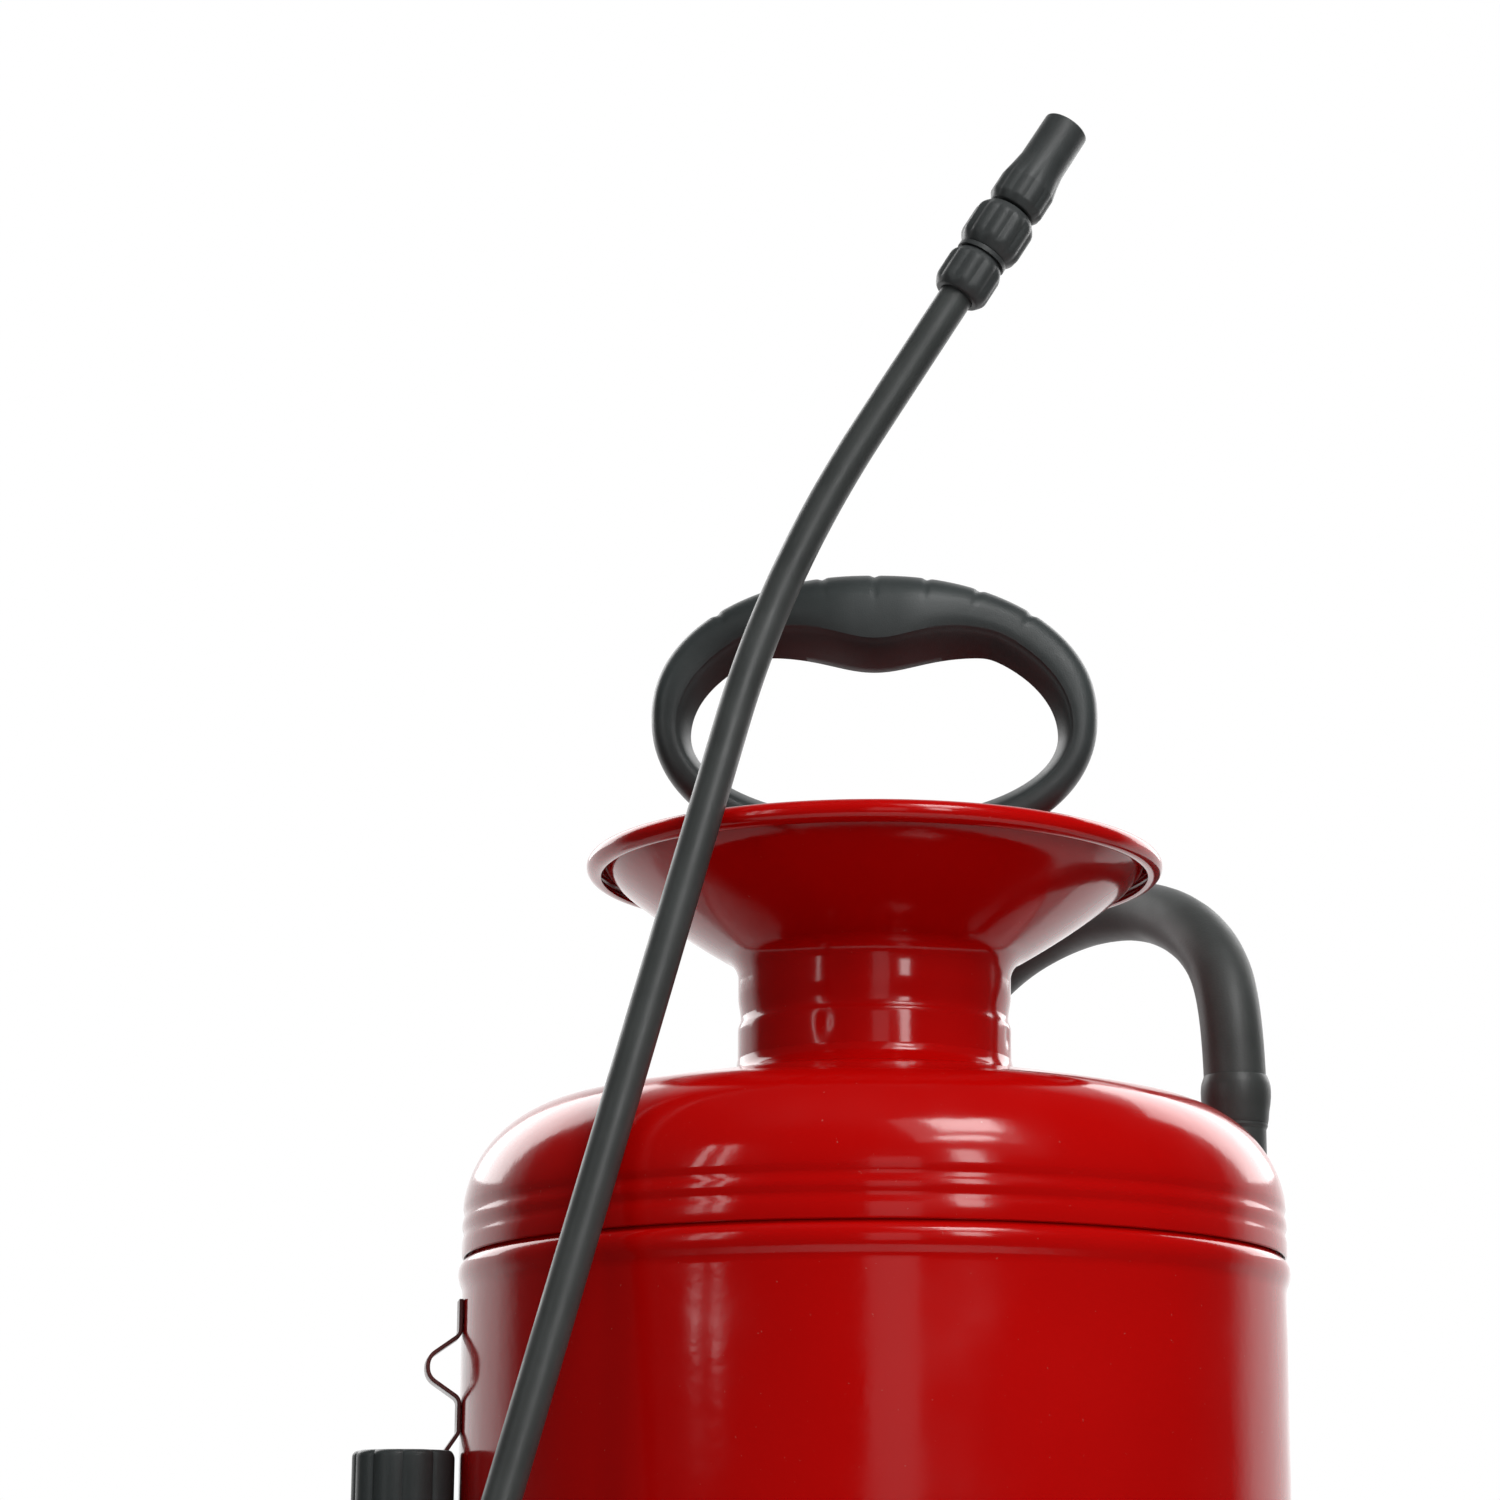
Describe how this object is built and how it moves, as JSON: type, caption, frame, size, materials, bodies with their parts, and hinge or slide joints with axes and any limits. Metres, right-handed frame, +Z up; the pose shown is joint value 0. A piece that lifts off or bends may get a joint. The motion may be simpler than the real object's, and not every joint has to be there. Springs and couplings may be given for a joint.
{
  "type": "compression sprayer",
  "caption": "Hand-pumped compression sprayer: red steel tank with a funnel top, D-handle pump, hose, and a bent lance with a lever valve and an adjustable cone nozzle.",
  "frame": {"origin": "centre of the foot ring's underside, on the floor", "axes": "+Z up along the tank's axis; the holster is on the -X side, the outlet on the +X side, and the lance leans on the funnel's rim from the -Y side"},
  "size_m": [0.3924, 0.3525, 0.6862],
  "materials": {
    "red_steel": "gloss red enamel on steel sheet",
    "bracket_steel": "thin dark red enamel on a steel strip",
    "zinc_steel": "zinc plated",
    "steel_rod": "plated rod",
    "crimped_ferrule": "black coated",
    "black_hose": "smooth reinforced hose",
    "black_rubber": "moulded rubber",
    "black_plastic": "satin moulded polypropylene",
    "wand_plastic": "extruded nylon",
    "nozzle_plastic": "moulded acetal",
    "inner_plastic": "natural polypropylene",
    "brass": "turned brass",
    "spring_steel": "spring wire"
  },
  "bodies": {
    "tank": {"tank_shell": "red_steel", "tank_dome": "red_steel", "funnel": "red_steel", "neck_collar": "zinc_steel", "bottom_head": "red_steel", "foot_ring": "red_steel", "outlet_boss": "crimped_ferrule", "dip_tube": "inner_plastic", "dip_tube_strainer": "inner_plastic", "hose_ferrule": "crimped_ferrule", "hose": "black_hose", "holster_bracket": "bracket_steel", "holster_cup": "black_plastic", "cup_rivet": "zinc_steel"},
    "pump_seal": {"pump_gasket": "black_rubber"},
    "pump": {"pump_head": "black_plastic", "rod_bushing": "inner_plastic", "pump_barrel": "inner_plastic", "barrel_foot": "inner_plastic", "check_valve": "black_rubber"},
    "piston": {"piston_cup": "black_rubber", "piston_washer": "zinc_steel"},
    "plunger": {"plunger_rod": "steel_rod", "rod_buffer": "black_rubber", "piston_nut": "zinc_steel", "pump_handle": "black_plastic", "handle_pin": "zinc_steel"},
    "lance": {"wand_tube": "wand_plastic", "valve_body": "black_plastic", "stem_bushing": "brass", "valve_seat": "black_rubber", "valve_spring": "spring_steel", "trigger_pin": "zinc_steel", "catch_pin": "zinc_steel", "grip_strainer": "inner_plastic", "hose_tail": "inner_plastic", "wand_seal": "black_rubber", "nozzle_adapter": "nozzle_plastic", "nozzle_core": "nozzle_plastic"},
    "hose_clamp_nut": {"hose_nut": "black_plastic"},
    "wand_clamp_nut": {"wand_nut": "black_plastic"},
    "trigger_lever": {"trigger": "black_plastic"},
    "stem": {"valve_stem": "brass"},
    "catch": {"trigger_catch": "black_plastic"},
    "wand_tip_nut": {"wand_end_nut": "nozzle_plastic"},
    "nozzle_clamp_nut": {"nozzle_nut": "nozzle_plastic"},
    "tip_carrier": {"tip_seal": "black_rubber"},
    "spray_tip": {"nozzle_tip": "nozzle_plastic"}
  },
  "joints": [
    {"name": "pump_lift", "type": "slide", "parent": "tank", "child": "pump_seal", "axis": [0, 0, 1], "range_m": [0, 0.34]},
    {"name": "pump_unscrew", "type": "hinge", "parent": "pump_seal", "child": "pump", "pos_m": [0, 0, 0.466], "axis": [0, 0, 1], "range_deg": [0, 900]},
    {"name": "plunger_stroke", "type": "slide", "parent": "pump", "child": "piston", "axis": [0, 0, 1], "range_m": [0, 0.19]},
    {"name": "handle_spin", "type": "hinge", "parent": "piston", "child": "plunger", "pos_m": [0, 0, 0.496], "axis": [0, 0, 1], "continuous": true},
    {"name": "lance_tip", "type": "hinge", "parent": "tank", "child": "lance", "pos_m": [-0.1488, -0.18107, 0.06993], "axis": [1, 0, 0], "range_deg": [0, 30]},
    {"name": "hose_nut_turn", "type": "hinge", "parent": "lance", "child": "hose_clamp_nut", "pos_m": [-0.14642, -0.17088, 0.07743], "axis": [0.2377, 0.2318, 0.9433], "continuous": true},
    {"name": "wand_nut_turn", "type": "hinge", "parent": "lance", "child": "wand_clamp_nut", "pos_m": [-0.1084, -0.1338, 0.22836], "axis": [0.2377, 0.2318, 0.9433], "continuous": true},
    {"name": "trigger_squeeze", "type": "hinge", "parent": "lance", "child": "trigger_lever", "pos_m": [-0.12243, -0.14776, 0.2173], "axis": [0.7071, -0.7071, -0.0044], "range_deg": [0, 10], "stiffness_Nm_per_rad": 1.2, "springref_deg": -20.05},
    {"name": "stem_travel", "type": "slide", "parent": "lance", "child": "stem", "axis": [0.666, 0.668, -0.332], "range_m": [0, 0.0021], "deforming": ["valve_spring"]},
    {"name": "catch_flip", "type": "hinge", "parent": "lance", "child": "catch", "pos_m": [-0.15271, -0.1773, 0.09861], "axis": [-0.7071, 0.7071, 0.0044], "range_deg": [0, 95]},
    {"name": "wand_tip_nut_turn", "type": "hinge", "parent": "lance", "child": "wand_tip_nut", "pos_m": [0.02347, -0.04542, 0.64193], "axis": [0.5181, 0.0644, 0.8529], "continuous": true},
    {"name": "nozzle_nut_turn", "type": "hinge", "parent": "lance", "child": "nozzle_clamp_nut", "pos_m": [0.03073, -0.04452, 0.65387], "axis": [0.5181, 0.0644, 0.8529], "continuous": true},
    {"name": "nozzle_travel", "type": "slide", "parent": "lance", "child": "tip_carrier", "axis": [0.5181, 0.0644, 0.8529], "range_m": [0, 0.0023]},
    {"name": "nozzle_twist", "type": "hinge", "parent": "tip_carrier", "child": "spray_tip", "pos_m": [0.04109, -0.04323, 0.67093], "axis": [0.5181, 0.0644, 0.8529], "range_deg": [0, 300]}
  ],
  "couplings": [
    {"joint": "stem_travel", "follows": "trigger_squeeze", "m_per_rad": 0.011459},
    {"joint": "nozzle_travel", "follows": "nozzle_twist", "m_per_rad": 0.00042017}
  ]
}
